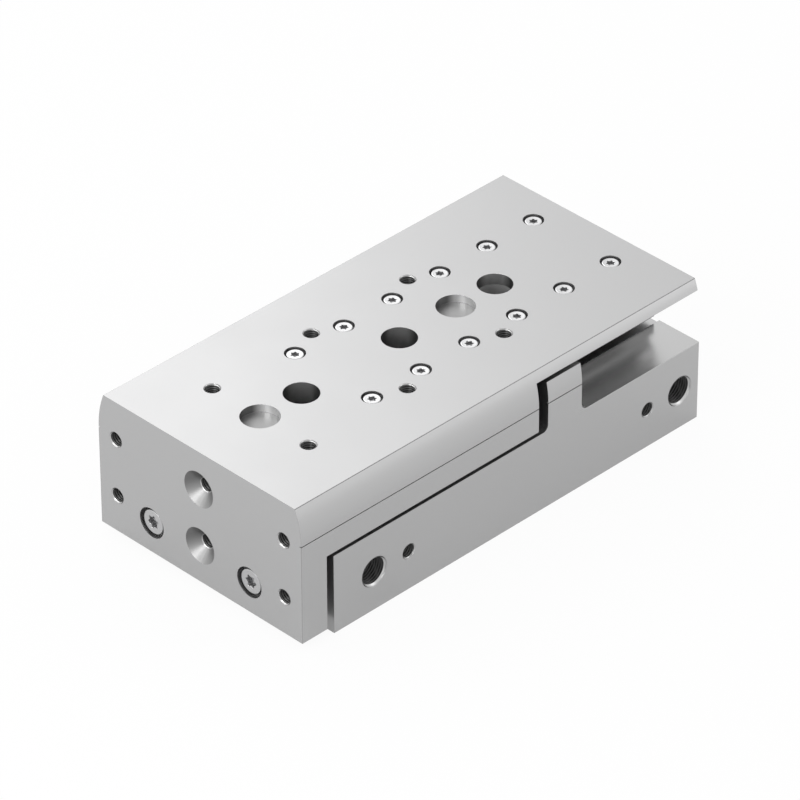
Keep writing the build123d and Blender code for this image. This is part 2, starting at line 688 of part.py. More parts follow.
def rod_ring(side, front, width):
    """A seal or wiper ring that runs on the rod."""
    outer = ROD + 2 * ROD_SEAL_DEPTH
    return on_bore(side, ring(front, width, outer, ROD + 2 * SLIDING_FIT))


def end_plug(side):
    """The plug in a bore's rear end, with a groove for a ring seal and a nose for the bumper."""
    front = PLUG_REAR - PLUG_BODY
    body = ring(front, PLUG_BODY, BORE - 2 * SLIDING_FIT, 0, TURNED_EDGE, TURNED_EDGE)
    nose = front - PLUG_NOSE
    body += ring(nose, PLUG_NOSE, PLUG_NOSE_DIAMETER, 0, front_edge=TURNED_EDGE)
    body -= ring(front + RING_SEAL_SETBACK, RING_SEAL_WIDTH, BORE, BORE - 2 * RING_SEAL_DEPTH)
    return on_bore(side, body)


def ring_seal(side, front):
    """A static seal, pressed flat between a bore and what closes it."""
    outer = BORE - 2 * SLIDING_FIT
    inner = BORE - 2 * RING_SEAL_DEPTH + 2 * SLIDING_FIT
    return on_bore(side, ring(front, RING_SEAL_WIDTH, outer, inner))


def clip(side, front):
    """An open retaining clip that sits in its groove at a bore's end."""
    outer = BORE + 2 * CLIP_GROOVE - 2 * SLIDING_FIT
    flat = Circle(outer / 2) - Circle(outer / 2 - CLIP_WIDTH)
    flat -= Pos(0, -outer / 2) * Rectangle(outer / 3, outer / 2)
    return on_bore(side, lengthwise(Plane.YZ * flat, front, front + CLIP_THICKNESS))


def bumper(side, front, diameter, inner):
    """An elastic ring or disc that softens the end of the stroke."""
    return on_bore(side, ring(front, BUMPER, diameter, inner))


def pieces():
    """Every piece of the slide table, by name."""
    made = {
        "housing": housing(),
        "table": table(),
        "guide_rail": guide_rail(),
        "rail_screws": rail_screws(),
        "yoke_screws": yoke_screws(),
        "bar_screws": bar_screws(),
    }
    rod_bore = ROD + 2 * BUMPER_GAP
    front_seal = GUIDE_FRONT + GUIDE_BODY - RING_SEAL_SETBACK - RING_SEAL_WIDTH
    rear_seal = PLUG_REAR - PLUG_BODY + RING_SEAL_SETBACK
    front_bumper = FRONT_BUMPER_REAR - BUMPER
    for name, side in SIDES.items():
        made[f"bearing_bar_{name}"] = bearing_bar(side)
        made[f"bar_cap_front_{name}"] = bar_cap(side, BAR_FRONT - CAP_THICKNESS)
        made[f"bar_cap_rear_{name}"] = bar_cap(side, BAR_REAR)
        made[f"bar_wiper_front_{name}"] = bar_wiper(side, WIPER_FRONT)
        made[f"bar_wiper_rear_{name}"] = bar_wiper(side, BAR_REAR + CAP_THICKNESS)
        made[f"ball_cage_{name}"] = ball_cage(side)
        made[f"balls_{name}"] = balls(side)
        made[f"piston_rod_{name}"] = piston_rod(side)
        made[f"piston_front_{name}"] = piston_front(side)
        made[f"piston_rear_{name}"] = piston_rear(side)
        made[f"piston_seals_{name}"] = piston_seals(side)
        made[f"guide_band_{name}"] = guide_band(side)
        made[f"piston_magnet_{name}"] = piston_magnet(side)
        made[f"piston_nut_{name}"] = piston_nut(side)
        made[f"rod_guide_{name}"] = rod_guide(side)
        made[f"rod_seal_{name}"] = rod_ring(side, GUIDE_FRONT + ROD_SEAL_SETBACK, ROD_SEAL_WIDTH)
        made[f"rod_wiper_{name}"] = rod_ring(side, GUIDE_FRONT, ROD_WIPER_WIDTH)
        made[f"front_ring_seal_{name}"] = ring_seal(side, front_seal)
        made[f"front_clip_{name}"] = clip(side, HOUSING_FRONT + CLIP_SETBACK)
        made[f"front_bumper_{name}"] = bumper(side, front_bumper, GUIDE_NOSE_DIAMETER, rod_bore)
        made[f"end_plug_{name}"] = end_plug(side)
        made[f"rear_ring_seal_{name}"] = ring_seal(side, rear_seal)
        made[f"rear_clip_{name}"] = clip(side, PLUG_REAR)
        made[f"rear_bumper_{name}"] = bumper(side, REAR_BUMPER_FRONT, PLUG_NOSE_DIAMETER, 0)
    return made


def main():
    os.makedirs("parts", exist_ok=True)
    for name, shape in pieces().items():
        whole = Compound(children=shape) if isinstance(shape, list) else shape
        export_step(whole, f"parts/{name}.step")


main()
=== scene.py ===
"""Looks of a pneumatic slide table: finishes, screws, threads and the studio round them.

Everything is in metres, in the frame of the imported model: +X is the way the table runs out, +Y is
the side with the air ports and +Z is up. A station is a distance behind the yoke's front face.
"""

from __future__ import annotations

import json
import logging
import math
from dataclasses import dataclass, replace
from enum import Enum

import bpy
import numpy as np
from mathutils import Matrix, Vector


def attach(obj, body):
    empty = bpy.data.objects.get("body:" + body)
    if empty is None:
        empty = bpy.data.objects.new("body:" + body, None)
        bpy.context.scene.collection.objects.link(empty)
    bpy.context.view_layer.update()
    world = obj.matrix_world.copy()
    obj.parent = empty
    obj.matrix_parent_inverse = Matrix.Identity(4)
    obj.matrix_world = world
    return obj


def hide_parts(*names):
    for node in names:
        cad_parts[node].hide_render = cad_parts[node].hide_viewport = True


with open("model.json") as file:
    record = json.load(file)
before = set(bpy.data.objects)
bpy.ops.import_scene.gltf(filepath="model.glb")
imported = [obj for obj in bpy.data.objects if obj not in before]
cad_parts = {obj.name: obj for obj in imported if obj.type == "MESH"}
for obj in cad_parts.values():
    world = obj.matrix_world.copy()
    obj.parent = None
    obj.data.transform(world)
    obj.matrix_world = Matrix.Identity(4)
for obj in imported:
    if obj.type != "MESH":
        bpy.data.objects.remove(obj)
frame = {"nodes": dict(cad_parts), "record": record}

log = logging.getLogger("slide_table")

MM = 0.001
LENGTH = 165.5 * MM
TABLE = "table"
HOUSING = "housing"
GUIDE_RAIL = "guide_rail"
SIDES = (1, -1)


def at(station: float, y: float, z: float) -> np.ndarray:
    """Gives a point of the part.

    Args:
        station: distance behind the yoke's front face, in millimetres.
        y: place across the part, in millimetres.
        z: height above the base, in millimetres.

    Returns:
        The point in metres.
    """
    return np.array([LENGTH / 2 - station * MM, y * MM, z * MM])


def full_turn(samples: int) -> np.ndarray:
    """Gives evenly spaced angles round one turn.

    Args:
        samples: how many.

    Returns:
        The angles in radians, without the last, which is the first again.
    """
    return np.linspace(0, 2 * np.pi, samples, endpoint=False)


class Way(Enum):
    """The way a hole or a screw points, from its mouth or head into the part."""

    DOWN = (0.0, 0.0, -1.0)
    UP = (0.0, 0.0, 1.0)
    BACK = (-1.0, 0.0, 0.0)
    ACROSS = (0.0, -1.0, 0.0)


class Axis(Enum):
    """The direction in which a painted place runs."""

    LENGTHWISE = (1.0, 0.0, 0.0)
    UPRIGHT = (0.0, 0.0, 1.0)


# Surfaces


@dataclass(frozen=True)
class Surface:
    """A closed surface on a grid: rings of points, each ring closed on itself.

    The grid has the shape (rings, samples, 3). With loop set, the last ring joins the first, as on
    a tube with a wall. Without it, the first and last rings are closed by a point in their middle.
    """

    rings: np.ndarray
    loop: bool = False

    def vertices(self) -> np.ndarray:
        """Gives the points of the grid.

        Returns:
            The points as rows, with the two middle points last where the surface has them.
        """
        points = self.rings.reshape(-1, 3)
        if self.loop:
            return points
        ends = np.stack([self.rings[0].mean(axis=0), self.rings[-1].mean(axis=0)])
        return np.concatenate([points, ends])

    def faces(self) -> list[list[int]]:
        """Gives the faces, turned so that they point out of the solid.

        A face joins the neighbours (k, n), (k, n+1), (k+1, n+1) and (k+1, n). Each face's normal,
        as long as twice its area, is multiplied with its middle's offset from the middle of all
        points. Where the sum of these products is negative, every face is turned round.

        Returns:
            Lists of vertex numbers.
        """
        count, samples = self.rings.shape[:2]
        k = np.arange(count if self.loop else count - 1)[:, None]
        n = np.arange(samples)[None, :]
        here, beside = k * samples + n, k * samples + (n + 1) % samples
        below = (k + 1) % count * samples
        quads = np.stack([here, beside, below + (n + 1) % samples, below + n], axis=-1)
        quads = quads.reshape(-1, 4)
        corners = self.vertices()[quads]
        first, second, third = (corners[:, index] - corners[:, 0] for index in (1, 2, 3))
        normals = np.cross(first, second) + np.cross(second, third)
        middle = corners.mean(axis=1) - self.vertices().mean(axis=0)
        outward = float((normals * middle).sum()) > 0
        faces = quads.tolist()
        if not self.loop:
            last = (count - 1) * samples
            ring, turn = np.arange(samples), (np.arange(samples) + 1) % samples
            poles = np.full((2, samples), [[count * samples], [count * samples + 1]])
            faces += np.stack([turn, ring, poles[0]], axis=-1).tolist()
            faces += np.stack([last + ring, last + turn, poles[1]], axis=-1).tolist()
        return faces if outward else [face[::-1] for face in faces]

    def placed(self, mouth: np.ndarray, way: Way) -> Surface:
        """Moves the surface to its place.

        The local +Z axis, which points out of the hole or head, is turned against the way in.

        Args:
            mouth: where the local origin goes.
            way: the way into the part.

        Returns:
            The surface in the part's frame.
        """
        out = -np.array(way.value)
        side = np.array([1.0, 0.0, 0.0] if way is Way.ACROSS else [0.0, 1.0, 0.0])
        turned = self.rings @ np.stack([side, np.cross(out, side), out])
        return Surface(turned + mouth, self.loop)


def mesh_object(name: str, surfaces: list[Surface], sharp_angle: float = 32.0) -> bpy.types.Object:
    """Puts surfaces into one mesh object at the origin.

    Args:
        name: the object's name.
        surfaces: the surfaces, in the part's frame.
        sharp_angle: edges that turn by more degrees than this stay sharp.

    Returns:
        The new object, linked to the scene.
    """
    points, faces, start = [], [], 0
    for surface in surfaces:
        vertices = surface.vertices()
        points.append(vertices)
        faces += [[start + number for number in face] for face in surface.faces()]
        start += len(vertices)
    mesh = bpy.data.meshes.new(name)
    mesh.from_pydata(np.concatenate(points).tolist(), [], faces)
    mesh.polygons.foreach_set("use_smooth", np.ones(len(mesh.polygons), dtype=bool))
    mesh.set_sharp_from_angle(angle=math.radians(sharp_angle))
    mesh.update()
    piece = bpy.data.objects.new(name, mesh)
    bpy.context.scene.collection.objects.link(piece)
    return piece


def dressed(piece: bpy.types.Object, body: str, finish: Finish, *replaced: str) -> bpy.types.Object:
    """Gives a new piece its body, its finish and the nodes that it stands for.

    Args:
        piece: the new piece.
        body: the body that it moves with.
        finish: its finish.
        *replaced: the nodes that it replaces.

    Returns:
        The piece.
    """
    piece.data.materials.append(finish.material())
    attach(piece, body)
    if replaced:
        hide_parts(*replaced)
    log.info("%s rides on %s, %d faces", piece.name, body, len(piece.data.polygons))
    return piece


def set_indices(piece: bpy.types.Object, second: np.ndarray) -> None:
    """Gives some of a piece's faces its second material.

    Args:
        piece: the piece, with two materials.
        second: for every face, whether it gets the second one.
    """
    piece.data.polygons.foreach_set("material_index", second.astype(int))


# Finishes


class Wiring:
    """Adds and links the nodes of one shader tree."""

    SCALAR_RESULTS = ("DISTANCE", "DOT_PRODUCT", "LENGTH")
    MIX_SOCKETS = {"FLOAT": (2, 3, 0), "RGBA": (6, 7, 2)}

    def __init__(self, tree: bpy.types.NodeTree) -> None:
        """Keeps the tree.

        Args:
            tree: the shader tree.
        """
        self.tree = tree

    def node(self, kind: str, **values: object) -> bpy.types.Node:
        """Adds a node.

        Args:
            kind: the node's type name.
            **values: its properties by name.

        Returns:
            The new node.
        """
        made = self.tree.nodes.new(kind)
        for name, value in values.items():
            setattr(made, name, value)
        return made

    def put(self, value: object, socket: bpy.types.NodeSocket) -> None:
        """Links or sets one input.

        Args:
            value: a socket to link or a value.
            socket: the input.
        """
        if isinstance(value, bpy.types.NodeSocket):
            self.tree.links.new(value, socket)
        else:
            socket.default_value = value

    def set(self, node: bpy.types.Node, **inputs: object) -> bpy.types.Node:
        """Sets or links inputs of a node.

        Args:
            node: the node.
            **inputs: its inputs by name, with _ for a space, each a socket to link or a value.

        Returns:
            The same node.
        """
        for name, value in inputs.items():
            self.put(value, node.inputs[name.replace("_", " ")])
        return node

    def maths(self, operation: str, *terms: object) -> bpy.types.NodeSocket:
        """Adds a Math node.

        Args:
            operation: its operation.
            *terms: its inputs in order, each a socket or a number.

        Returns:
            Its output.
        """
        made = self.node("ShaderNodeMath", operation=operation)
        for socket, term in zip(made.inputs, terms):
            self.put(term, socket)
        return made.outputs[0]

    def vectors(self, operation: str, *terms: object) -> bpy.types.NodeSocket:
        """Adds a Vector Math node.

        Args:
            operation: its operation.
            *terms: its inputs in order, each a socket or a vector.

        Returns:
            Its output, a number or a vector as the operation gives.
        """
        made = self.node("ShaderNodeVectorMath", operation=operation)
        for socket, term in zip(made.inputs, terms):
            self.put(term, socket)
        return made.outputs["Value" if operation in self.SCALAR_RESULTS else "Vector"]

    def mix(self, kind: str, share: object, low: object, high: object) -> bpy.types.NodeSocket:
        """Adds a Mix node.

        Args:
            kind: FLOAT or RGBA.
            share: the share of the second term.
            low: what shows where the share is 0.
            high: what shows where the share is 1.

        Returns:
            Its output.
        """
        made = self.node("ShaderNodeMix", data_type=kind)
        first, second, result = self.MIX_SOCKETS[kind]
        for value, number in ((share, 0), (low, first), (high, second)):
            self.put(value, made.inputs[number])
        return made.outputs[result]

    def mapped(
        self,
        value: bpy.types.NodeSocket,
        source: tuple[object, object],
        target: tuple[object, object] = (0.0, 1.0),
        curve: str = "LINEAR",
    ) -> bpy.types.NodeSocket:
        """Adds a Map Range node, which takes one range to another and stops at its ends.

        Args:
            value: what is mapped.
            source: the range that it is taken from.
            target: the range that it is taken to.
            curve: the way between the two ends.

        Returns:
            Its output.
        """
        made = self.node("ShaderNodeMapRange", interpolation_type=curve)
        self.set(made, Value=value, From_Min=source[0], From_Max=source[1])
        self.set(made, To_Min=target[0], To_Max=target[1])
        return made.outputs["Result"]


class Kind(Enum):
    """What a node group's socket carries."""

    VALUE = "NodeSocketFloat"
    VECTOR = "NodeSocketVector"
    COLOUR = "NodeSocketColor"


def new_group(name: str, takes: dict[str, Kind], gives: dict[str, Kind]) -> Wiring:
    """Makes a node group with its sockets.

    Args:
        name: the group's name.
        takes: its inputs.
        gives: its outputs.

    Returns:
        The wiring of the new group.
    """
    tree = bpy.data.node_groups.new(name, "ShaderNodeTree")
    for way, sockets in (("INPUT", takes), ("OUTPUT", gives)):
        for socket, kind in sockets.items():
            tree.interface.new_socket(name=socket, in_out=way, socket_type=kind.value)
    return Wiring(tree)


class Grain(Enum):
    """How a surface was made, as the stretch of its fine pattern along X, Y and Z."""

    BLASTED = (1.0, 1.0, 1.0)
    GROUND = (0.03, 1.0, 1.0)
    TURNED = (1.0, 0.02, 0.02)


def grain_group() -> bpy.types.NodeTree:
    """Gives the node group for fine surface texture, made once.

    Fine noise on the stretched object coordinates gives the height. A slow noise gives patches,
    where handling and the anodising bath leave the surface a little smoother or rougher.

    Returns:
        The group, with the outputs Height and Patch.
    """
    name = "fine_texture"
    if name in bpy.data.node_groups:
        return bpy.data.node_groups[name]
    takes = {"Size": Kind.VALUE, "Patch Size": Kind.VALUE, "Stretch": Kind.VECTOR}
    wiring = new_group(name, takes, {"Height": Kind.VALUE, "Patch": Kind.VALUE})
    given = wiring.node("NodeGroupInput").outputs
    place = wiring.node("ShaderNodeTexCoord").outputs["Object"]
    fine = wiring.set(
        wiring.node("ShaderNodeTexNoise"),
        Vector=wiring.vectors("MULTIPLY", place, given["Stretch"]),
        Scale=wiring.maths("DIVIDE", 1.0, given["Size"]),
        Detail=3.0,
        Roughness=0.6,
    )
    slow = wiring.set(
        wiring.node("ShaderNodeTexNoise"),
        Vector=place,
        Scale=wiring.maths("DIVIDE", 1.0, given["Patch Size"]),
        Detail=2.0,
        Roughness=0.5,
    )
    result = wiring.node("NodeGroupOutput")
    wiring.set(result, Height=fine.outputs["Fac"], Patch=slow.outputs["Fac"])
    return wiring.tree


def edge_group() -> bpy.types.NodeTree:
    """Gives the node group for broken edges, made once.

    A Bevel node rounds the shading normal near an edge. One less the dot product of that normal
    with the face's own is 0 on a flat and rises at an edge, which gives the mask.

    Returns:
        The group, with the outputs Normal and Mask.
    """
    name = "broken_edges"
    if name in bpy.data.node_groups:
        return bpy.data.node_groups[name]
    wiring = new_group(name, {"Radius": Kind.VALUE}, {"Normal": Kind.VECTOR, "Mask": Kind.VALUE})
    given = wiring.node("NodeGroupInput").outputs
    bevel = wiring.set(wiring.node("ShaderNodeBevel", samples=4), Radius=given["Radius"])
    rounded = bevel.outputs["Normal"]
    flat = wiring.node("ShaderNodeNewGeometry").outputs["Normal"]
    bent = wiring.maths("SUBTRACT", 1.0, wiring.vectors("DOT_PRODUCT", rounded, flat))
    edges = wiring.mapped(bent, source=(0.02, 0.25))
    wiring.set(wiring.node("NodeGroupOutput"), Normal=rounded, Mask=edges)
    return wiring.tree


def painted_shade_group() -> bpy.types.NodeTree:
    """Gives the node group that paints light and shade onto a place of the part, made once.

    The place is nearer to its axis than Radius and lies between Low and High along it. The lean at
    a point is its offset from the axis along Lee, or the size of that where Both Sides is 1. As the
    lean goes from Fall Start to Fall End, the shade goes from Shade to Dim. Outside the place, the
    colour and the roughness stay as they come in.

    Returns:
        The group, with the outputs Colour and Roughness.
    """
    name = "cut_place"
    if name in bpy.data.node_groups:
        return bpy.data.node_groups[name]
    values = (
        "Radius", "Low", "High", "Both Sides", "Fall Start", "Fall End", "Shade", "Dim",
        "Roughness", "Cut Roughness",
    )
    takes = {"Colour": Kind.COLOUR} | dict.fromkeys(("Along", "Axis", "Lee"), Kind.VECTOR)
    takes |= dict.fromkeys(values, Kind.VALUE)
    wiring = new_group(name, takes, {"Colour": Kind.COLOUR, "Roughness": Kind.VALUE})
    given = wiring.node("NodeGroupInput").outputs
    place = wiring.node("ShaderNodeTexCoord").outputs["Object"]
    across = wiring.vectors("SUBTRACT", place, wiring.vectors("PROJECT", place, given["Along"]))
    away = wiring.vectors("DISTANCE", across, given["Axis"])
    reach = wiring.vectors("DOT_PRODUCT", place, given["Along"])
    mask = wiring.maths("LESS_THAN", away, given["Radius"])
    mask = wiring.maths("MULTIPLY", mask, wiring.maths("GREATER_THAN", reach, given["Low"]))
    mask = wiring.maths("MULTIPLY", mask, wiring.maths("LESS_THAN", reach, given["High"]))
    offset = wiring.vectors("SUBTRACT", across, given["Axis"])
    one_sided = wiring.vectors("DOT_PRODUCT", offset, given["Lee"])
    lean = wiring.mix("FLOAT", given["Both Sides"], one_sided, wiring.maths("ABSOLUTE", one_sided))
    fall, tones = (given["Fall Start"], given["Fall End"]), (given["Shade"], given["Dim"])
    shade = wiring.mapped(lean, fall, tones, "SMOOTHSTEP")
    wiring.set(
        wiring.node("NodeGroupOutput"),
        Colour=wiring.mix("RGBA", mask, given["Colour"], shade),
        Roughness=wiring.mix("FLOAT", mask, given["Roughness"], given["Cut Roughness"]),
    )
    return wiring.tree


@dataclass(frozen=True)
class PaintedPlace:
    """A place whose colour carries painted light and shade of its own. Sizes are in millimetres.

    Each of its axes is given by a point of the part, as station, y and z. The span is two heights
    where the axes are upright, and two stations where they run lengthwise. With a lee direction
    the shade falls to the dim one on that side, or on both sides. The fall is where the change
    begins and ends, as shares of the radius.
    """

    along: Axis
    axes: tuple[tuple[float, float, float], ...]
    radius: float
    span: tuple[float, float]
    shade: float
    roughness: float
    dim: float | None = None
    lee: tuple[float, float, float] = (0.0, 0.0, 0.0)
    fall: tuple[float, float] = (0.0, 1.0)
    both_sides: bool = False

    def laid(
        self, wiring: Wiring, colour: bpy.types.NodeSocket, roughness: bpy.types.NodeSocket
    ) -> tuple[bpy.types.NodeSocket, bpy.types.NodeSocket]:
        """Lays the place's painted shade and light, and its roughness, over the material's.

        Args:
            wiring: the material's wiring.
            colour: the colour so far.
            roughness: the roughness so far.

        Returns:
            The new colour and roughness.
        """
        along = np.array(self.along.value)
        low, high = sorted(float(at(end, 0.0, end) @ along) for end in self.span)
        radius = self.radius * MM
        for axis in self.axes:
            place = wiring.set(
                wiring.node("ShaderNodeGroup", node_tree=painted_shade_group()),
                Along=along,
                Axis=at(*axis) * (1 - along),
                Lee=np.array(self.lee) * (1 - along) / radius,
                Radius=radius,
                Low=low,
                High=high,
                Both_Sides=float(self.both_sides),
                Fall_Start=self.fall[0],
                Fall_End=self.fall[1],
                Shade=self.shade,
                Dim=self.shade if self.dim is None else self.dim,
                Cut_Roughness=self.roughness,
                Colour=colour,
                Roughness=roughness,
            )
            colour, roughness = place.outputs["Colour"], place.outputs["Roughness"]
        return colour, roughness


@dataclass(frozen=True)
class Finish:
    """One finish of the part, with the record's slot as its name. Lengths are in metres.

    The roughness moves by the patch value to either side, as a slow noise goes through the middle
    of its range. Along the edges the colour is painted lighter by the painted edge light's share of
    itself and by a quarter of it, as a painted edge highlight; a negative one paints them darker,
    as a painted dark line along the edges.
    """

    slot: str
    colour: tuple[float, float, float]
    metallic: float
    roughness: float
    grain: Grain = Grain.BLASTED
    grain_size: float = 0.15 * MM
    grain_depth: float = 0.001 * MM
    patch_size: float = 22 * MM
    patch: float = 0.04
    patch_range: tuple[float, float] = (0.3, 0.7)
    edge_radius: float = 0.12 * MM
    painted_edge_light: float = 0.12
    work: str = "finish"
    painted_places: tuple[PaintedPlace, ...] = ()

    def material(self) -> bpy.types.Material:
        """Gives the finish's material, made once.

        Returns:
            A material whose base colour is painted lighter or darker along broken edges and at its
            painted places, whose roughness drifts in slow patches and whose normal carries the fine
            texture.
        """
        name = f"{self.slot}_{self.work}"
        if name in bpy.data.materials:
            return bpy.data.materials[name]
        material = bpy.data.materials.new(name)
        material.use_nodes = True
        material.node_tree.nodes.clear()
        wiring = Wiring(material.node_tree)
        texture = wiring.node("ShaderNodeGroup", node_tree=grain_group())
        wiring.set(texture, Size=self.grain_size, Stretch=self.grain.value)
        wiring.set(texture, Patch_Size=self.patch_size)
        edges = wiring.node("ShaderNodeGroup", node_tree=edge_group())
        wiring.set(edges, Radius=self.edge_radius)
        # Painted edge highlight or painted dark edge line: the colour along the edges stands in for
        # light and shade
        rise = self.painted_edge_light
        painted_edge_colour = [min(1.0, part * (1 + rise) + rise / 4) for part in self.colour]
        colour = wiring.mix("RGBA", edges.outputs["Mask"], (*self.colour, 1.0), (*painted_edge_colour, 1.0))
        rough = (self.roughness - self.patch, self.roughness + self.patch)
        roughness = wiring.mapped(texture.outputs["Patch"], self.patch_range, rough)
        # Painted light and shade laid over given places
        for place in self.painted_places:
            colour, roughness = place.laid(wiring, colour, roughness)
        bump = wiring.set(
            wiring.node("ShaderNodeBump"),
            Strength=1.0,
            Distance=self.grain_depth,
            Height=texture.outputs["Height"],
            Normal=edges.outputs["Normal"],
        )
        shader = wiring.set(
            wiring.node("ShaderNodeBsdfPrincipled"),
            Base_Color=colour,
            Metallic=self.metallic,
            Roughness=roughness,
            Normal=bump.outputs["Normal"],
        )
        wiring.set(wiring.node("ShaderNodeOutputMaterial"), Surface=shader.outputs["BSDF"])
        return material


ANODISED = Finish(
    "anodised_aluminium", (0.468, 0.468, 0.47), 1.0, 0.36, patch=0.012, painted_edge_light=-0.4
)
HARDENED = Finish(
    "hardened_steel", (0.2, 0.2, 0.205), 1.0, 0.26, Grain.GROUND, 0.1 * MM, 0.002 * MM
)
ZINC = Finish("zinc_steel", (0.5, 0.5, 0.505), 1.0, 0.3, grain_size=0.1 * MM)
FINISHES = (
    ANODISED,
    HARDENED,
    ZINC,
    Finish("spring_steel", (0.16, 0.155, 0.15), 0.9, 0.4),
    Finish("ball_steel", (0.68, 0.68, 0.69), 1.0, 0.07, patch=0.02, painted_edge_light=0.0),
    Finish(
        "rod_steel", (0.62, 0.63, 0.64), 1.0, 0.1, Grain.TURNED, 0.08 * MM, 0.0006 * MM, patch=0.02
    ),
    Finish("piston_aluminium", (0.5, 0.5, 0.51), 1.0, 0.32, Grain.TURNED, 0.2 * MM, 0.004 * MM),
    Finish("guide_bronze", (0.55, 0.36, 0.17), 1.0, 0.34, Grain.TURNED, 0.2 * MM, 0.004 * MM),
    Finish("magnet", (0.09, 0.09, 0.095), 0.5, 0.5, Grain.BLASTED, 0.4 * MM, 0.01 * MM),
    Finish("black_plastic", (0.022, 0.022, 0.024), 0.0, 0.42, Grain.BLASTED, 0.3 * MM, 0.01 * MM),
    Finish("cage_plastic", (0.62, 0.58, 0.48), 0.0, 0.4, Grain.BLASTED, 0.3 * MM, 0.006 * MM),
    Finish("black_rubber", (0.014, 0.014, 0.015), 0.0, 0.6, Grain.BLASTED, 0.25 * MM, 0.012 * MM),
    Finish("elastomer", (0.26, 0.2, 0.08), 0.0, 0.45, Grain.BLASTED, 0.4 * MM, 0.008 * MM),
)
# The inside of each socket is painted darker than the head, as painted shade in the recess
SHADED_SOCKET = replace(
    ZINC, colour=(0.42, 0.42, 0.425), roughness=0.36, grain_size=0.15 * MM, painted_edge_light=0.0,
    work="socket",
)
# A lighter copy of the zinc for the screws on the table's top, painted lighter where light falls
# from above
PAINTED_LIT_ZINC = replace(ZINC, colour=(0.6, 0.6, 0.605), roughness=0.26, work="painted_lit")
# The thread deep in a hole is painted dark, as painted shade in the hole
PAINTED_DARK_THREAD = Finish(
    "anodised_aluminium", (0.07, 0.07, 0.07), 1.0, 0.42, painted_edge_light=0.8, edge_radius=0.05 * MM,
    work="thread",
)
# The countersunk mouth is painted a little lighter than the face, as a painted highlight
LIFTED_COUNTERSUNK = Finish(
    "anodised_aluminium", (0.52, 0.52, 0.52), 1.0, 0.3, painted_edge_light=0.0, work="countersink"
)

# The places on the table, the housing and the guide rail, with their painted light and shade, whose
# sizes are in millimetres
PLATE_TOP = 49.18
CENTRING_FLOOR = 46.6
CENTRING = ((24.7, 0.0, 0.0), (104.7, 0.0, 0.0))
ACCESS = ((41.3, 0.0, 0.0), (81.3, 0.0, 0.0), (121.3, 0.0, 0.0))
REAR_HALF = ((140.0, 0.0, 0.0),)
REAR_RADIUS = 50.0
# The sides towards which painted shade falls
LEFT = (0.71, -0.7, 0.0)
UPPER_LEFT = (0.0, -0.5, 0.87)

# The blind holes are painted darker to the left as painted shade, and their walls lighter in the
# middle as a painted highlight
SHADED_CENTRING_FLOORS = PaintedPlace(
    Axis.UPRIGHT, CENTRING, radius=6.1, span=(CENTRING_FLOOR - 0.05, CENTRING_FLOOR + 0.05),
    shade=0.34, roughness=0.5, dim=0.17, lee=LEFT, fall=(0.15, 0.9),
)
SHADED_CENTRING_WALLS = PaintedPlace(
    Axis.UPRIGHT, CENTRING, radius=6.1, span=(CENTRING_FLOOR + 0.05, PLATE_TOP),
    shade=0.85, roughness=0.28, dim=0.2, lee=LEFT, fall=(-0.05, 0.45),
)
# The access holes' walls are painted dark to both sides, as painted shade
SHADED_ACCESS_WALLS = PaintedPlace(
    Axis.UPRIGHT, ACCESS, radius=5.6, span=(26.0, PLATE_TOP),
    shade=0.78, roughness=0.42, dim=0.15, lee=LEFT, fall=(0.4, 0.9), both_sides=True,
)
# The front cones are painted darker, most to the upper left, as painted shade
SHADED_CENTRING_CONES = PaintedPlace(
    Axis.LENGTHWISE, ((0.0, 0.0, 15.8), (0.0, 0.0, 35.8)), radius=6.1, span=(0.02, 3.1),
    shade=0.31, roughness=0.4, dim=0.17, lee=UPPER_LEFT, fall=(-0.3, 0.6),
)
# The underside is matt, and painted lighter so that its reflection in the shelf shows brighter
MATT_LIGHTENED_UNDERSIDE = PaintedPlace(
    Axis.UPRIGHT, REAR_HALF, radius=REAR_RADIUS, span=(37.0, 45.45), shade=0.6, roughness=0.65,
)
# A thin dark line is painted along the shoulders' top edges and down the yoke's front corners, as
# painted shade
SHOULDER_PAINTED_SHADE_LINES = PaintedPlace(
    Axis.LENGTHWISE, ((0.0, 39.85, 49.08), (0.0, -39.85, 49.08)), radius=0.118,
    span=(0.0, LENGTH / MM), shade=0.2, roughness=0.5,
)
YOKE_PAINTED_SHADE_LINES = PaintedPlace(
    Axis.UPRIGHT, ((0.0, 42.25, 0.0), (0.0, -42.25, 0.0)), radius=0.13, span=(0.0, 36.8),
    shade=0.36, roughness=0.5,
)
# The rear shelf is ground smoother, and painted a little lighter to set how bright its reflections
# show
GROUND_LIGHTENED_SHELF = PaintedPlace(
    Axis.UPRIGHT, REAR_HALF, radius=REAR_RADIUS, span=(27.35, 27.45), shade=0.49, roughness=0.21,
)
